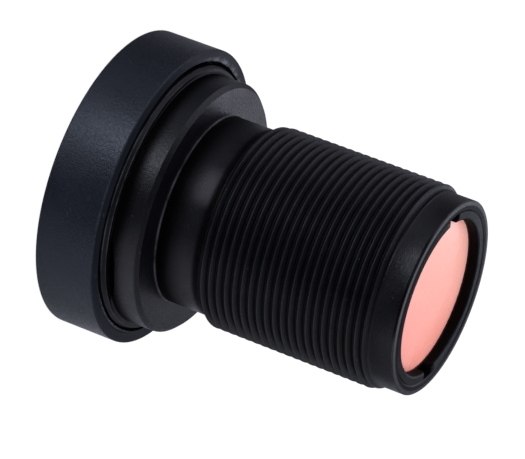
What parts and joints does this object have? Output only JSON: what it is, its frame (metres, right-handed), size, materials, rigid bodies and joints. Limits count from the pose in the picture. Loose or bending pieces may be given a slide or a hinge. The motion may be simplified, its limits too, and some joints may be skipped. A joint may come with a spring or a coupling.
{
  "type": "action camera lens",
  "caption": "Small fixed-focus camera lens: black threaded barrel with neck and shoulder, pink filter under a slotted ring in the tail, and a push-on dust cap over the front.",
  "frame": {"origin": "middle of the dust cap's flat front face, on the optical axis", "axes": "+Z along the optical axis from the front of the lens to its tail; the filter ring's slots lie 30 degrees from +X"},
  "size_m": [0.0174, 0.0174, 0.0206],
  "materials": {
    "cap_plastic": "matte black moulded plastic",
    "black_anodised": "satin black anodised",
    "ring_black": "satin black anodised",
    "spacer_black": "dull black",
    "washer_film": "dull black film",
    "seal_rubber": "dull black rubber",
    "optical_glass": "clear coated glass",
    "filter_coating": "glass with a salmon pink reflecting coating"
  },
  "bodies": {
    "lens": {"barrel": "black_anodised", "front_retaining_ring": "black_anodised", "front_seal": "seal_rubber", "element_1": "optical_glass", "spacer_1": "spacer_black", "element_2": "optical_glass", "spacer_2": "spacer_black", "element_3": "optical_glass", "baffle_washer_1": "washer_film", "spacer_3": "spacer_black", "aperture_stop": "washer_film", "spacer_4": "spacer_black", "element_4": "optical_glass", "element_5": "optical_glass", "spacer_5": "spacer_black", "element_6": "optical_glass", "baffle_washer_2": "washer_film", "spacer_6": "spacer_black", "element_7": "optical_glass", "ir_cut_filter": "filter_coating", "filter_retaining_ring": "ring_black"},
    "cap": {"dust_cap": "cap_plastic"}
  },
  "joints": [
    {"name": "cap_pull", "type": "slide", "parent": "lens", "child": "cap", "axis": [0, 0, -1], "range_m": [0, 0.008]}
  ]
}
